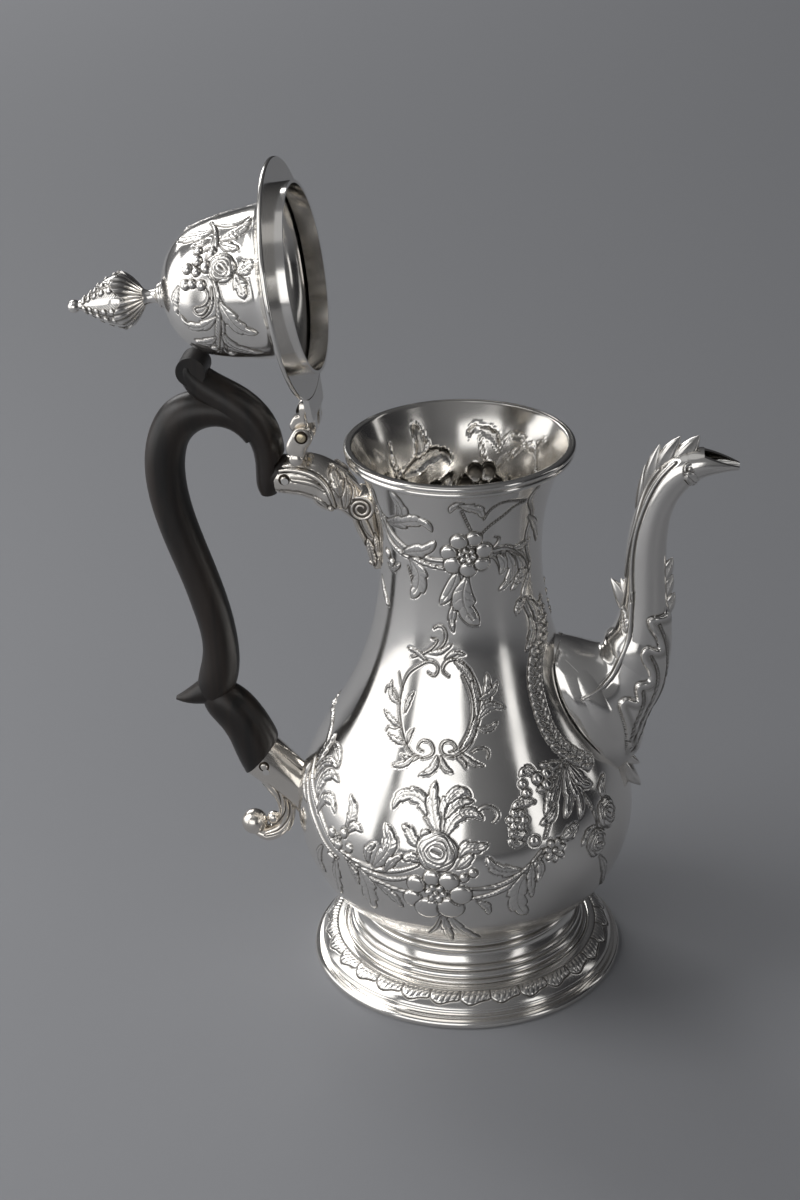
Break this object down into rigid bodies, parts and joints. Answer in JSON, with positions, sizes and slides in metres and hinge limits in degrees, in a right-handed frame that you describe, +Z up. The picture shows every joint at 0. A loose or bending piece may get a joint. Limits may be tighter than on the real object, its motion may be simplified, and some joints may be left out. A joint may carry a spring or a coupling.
{
  "type": "coffee pot",
  "caption": "Baluster coffee pot in polished silver on a stepped round foot, with a hinged domed lid, a curved cast spout and a dark wooden scroll handle.",
  "frame": {"origin": "centre of the foot's underside, on the axis of the body", "axes": "+Z up along the axis of the body, +X along the spout, the handle is on -X, and the lid's hinge pin lies along Y"},
  "size_m": [0.2284, 0.1224, 0.302],
  "materials": {
    "silver": "polished",
    "handle_wood": "satin",
    "pin_brass": "worn"
  },
  "bodies": {
    "pot": {"belly_shell": "silver", "neck_shell": "silver", "rim_moulding": "silver", "foot_pedestal": "silver", "foot_rim": "silver", "spout_left_half": "silver", "spout_right_half": "silver", "spout_crest_thorns": "silver", "spout_heel_thorn": "silver", "spout_front_thorns": "silver", "spout_toe_thorns": "silver", "upper_socket": "silver", "upper_socket_collar": "silver", "upper_socket_bracket": "silver", "upper_handle_pin": "silver", "lower_socket": "silver", "lower_socket_scroll": "silver", "lower_handle_pin": "silver", "handle_grip": "handle_wood", "hinge_stand": "silver", "hinge_pin": "pin_brass"},
    "lid": {"lid_flange": "silver", "lid_dome": "silver", "lid_bezel": "silver", "lid_hinge_tongue": "silver", "finial_collar": "silver", "finial_stem": "silver", "finial_bud": "silver", "finial_leaves": "silver", "finial_tip": "silver"}
  },
  "joints": [
    {"name": "lid_hinge", "type": "hinge", "parent": "pot", "child": "lid", "pos_m": [-0.0522, 0, 0.2093], "axis": [0, 1, 0], "range_deg": [0, 98.4]}
  ]
}
